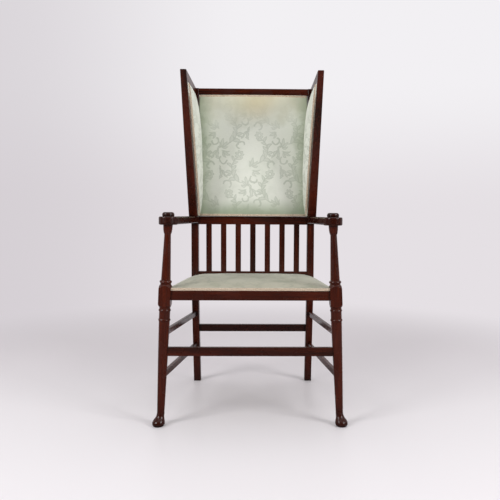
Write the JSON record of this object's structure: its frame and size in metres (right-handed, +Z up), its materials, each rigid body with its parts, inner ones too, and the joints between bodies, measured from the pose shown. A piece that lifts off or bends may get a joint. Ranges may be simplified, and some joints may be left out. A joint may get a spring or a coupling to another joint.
{
  "type": "wing armchair",
  "caption": "Tall wing armchair with turned front posts, flat arms, a slatted lower back, and a stuffed seat, back and wings covered in damask.",
  "frame": {"origin": "on the floor, under the middle of the chair's bounding box", "axes": "+Z up, the chair faces -Y, +X is the right side as seen from the front"},
  "size_m": [0.6292, 0.5224, 1.17],
  "materials": {
    "mahogany": "dark red-brown French polish, semi-gloss",
    "birch": "plain sawn",
    "damask": "pale sage silk damask over stuffing",
    "cover_cloth": "plain-backed cover cloth",
    "gimp_braid": "woven braid",
    "jute_webbing": "woven jute"
  },
  "bodies": {
    "root": {"arm_button_left": "mahogany", "arm_button_right": "mahogany", "arm_left": "mahogany", "arm_right": "mahogany", "back_middle_rail": "mahogany", "back_outer_cover": "cover_cloth", "back_pad": "damask", "back_slat_1": "mahogany", "back_slat_2": "mahogany", "back_slat_3": "mahogany", "back_slat_4": "mahogany", "back_slat_5": "mahogany", "back_slat_6": "mahogany", "back_slat_7": "mahogany", "back_top_rail": "mahogany", "back_webbing": "jute_webbing", "front_post_left": "mahogany", "front_post_right": "mahogany", "front_seat_rail": "mahogany", "front_stretcher": "mahogany", "rear_post_left": "mahogany", "rear_post_right": "mahogany", "rear_seat_rail": "mahogany", "rear_stretcher": "mahogany", "seat_corner_blocks_left": "birch", "seat_corner_blocks_right": "birch", "seat_gimp": "gimp_braid", "seat_pad": "damask", "seat_webbing": "jute_webbing", "side_seat_rail_left": "mahogany", "side_seat_rail_right": "mahogany", "side_stretcher_lower_left": "mahogany", "side_stretcher_lower_right": "mahogany", "side_stretcher_upper_left": "mahogany", "side_stretcher_upper_right": "mahogany", "wing_base_rail_left": "mahogany", "wing_base_rail_right": "mahogany", "wing_outer_cover_left": "cover_cloth", "wing_outer_cover_right": "cover_cloth", "wing_pad_left": "damask", "wing_pad_right": "damask", "wing_stile_left": "mahogany", "wing_stile_right": "mahogany", "wing_top_rail_left": "mahogany", "wing_top_rail_right": "mahogany"}
  },
  "joints": []
}
